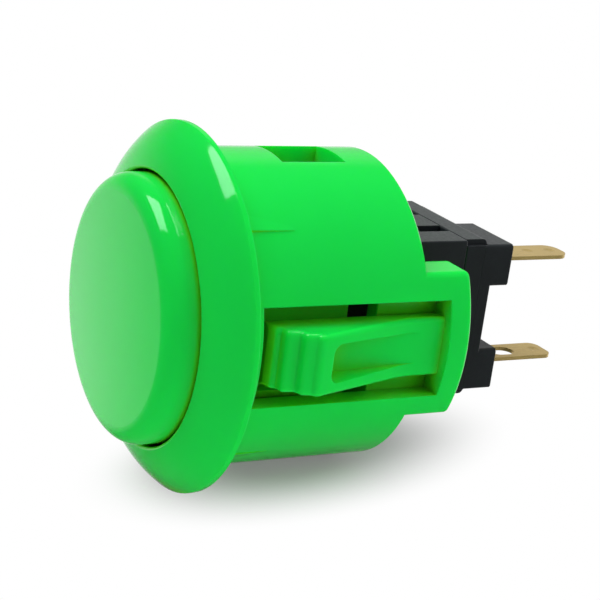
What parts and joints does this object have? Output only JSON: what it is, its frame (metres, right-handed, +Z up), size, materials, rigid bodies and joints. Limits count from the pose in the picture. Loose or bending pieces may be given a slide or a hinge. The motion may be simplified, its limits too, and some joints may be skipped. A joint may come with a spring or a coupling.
{
  "type": "arcade push button",
  "caption": "Round snap-in push button: domed bezel ring, sprung plunger, barrel with ribbed side latches, and a rear switch with blade terminals.",
  "frame": {"origin": "on the button's axis, in the plane where the flange's back face meets the panel", "axes": "+Y along the axis, from the player through the panel to the terminals; +Z up; +X towards the latch that the picture shows"},
  "size_m": [0.0274, 0.038, 0.0274],
  "materials": {
    "green_plastic": "polished moulding",
    "black_plastic": "satin moulding",
    "tab_brass": "rolled strip",
    "slider_plastic": "satin moulding",
    "spring_steel": "drawn wire",
    "leaf_bronze": "rolled strip",
    "contact_silver": "headed rivet"
  },
  "bodies": {
    "fixed": {"housing": "green_plastic", "switch_case": "black_plastic", "switch_base": "black_plastic", "common_terminal": "tab_brass", "open_terminal": "tab_brass", "fixed_contact": "contact_silver", "return_spring": "spring_steel"},
    "plunger_body": {"plunger": "green_plastic"},
    "actuator_body": {"actuator": "slider_plastic"},
    "leaf_body": {"contact_leaf": "leaf_bronze", "moving_contact": "contact_silver"}
  },
  "joints": [
    {"name": "plunger_press", "type": "slide", "parent": "fixed", "child": "plunger_body", "axis": [0, 1, 0], "range_m": [0, 0.0018], "stiffness_N_per_m": 200, "springref_m": -0.003},
    {"name": "actuator_slide", "type": "slide", "parent": "fixed", "child": "actuator_body", "axis": [0, 1, 0], "range_m": [0, 0.0018], "deforming": ["return_spring"]},
    {"name": "leaf_flex", "type": "hinge", "parent": "fixed", "child": "leaf_body", "pos_m": [0.00295, 0.0193, 0.0026], "axis": [-1, 0, 0], "range_deg": [0, 9.41]}
  ],
  "couplings": [
    {"joint": "actuator_slide", "follows": "plunger_press", "ratio": 1},
    {"joint": "leaf_flex", "follows": "plunger_press", "rad_per_m": 91.2}
  ]
}
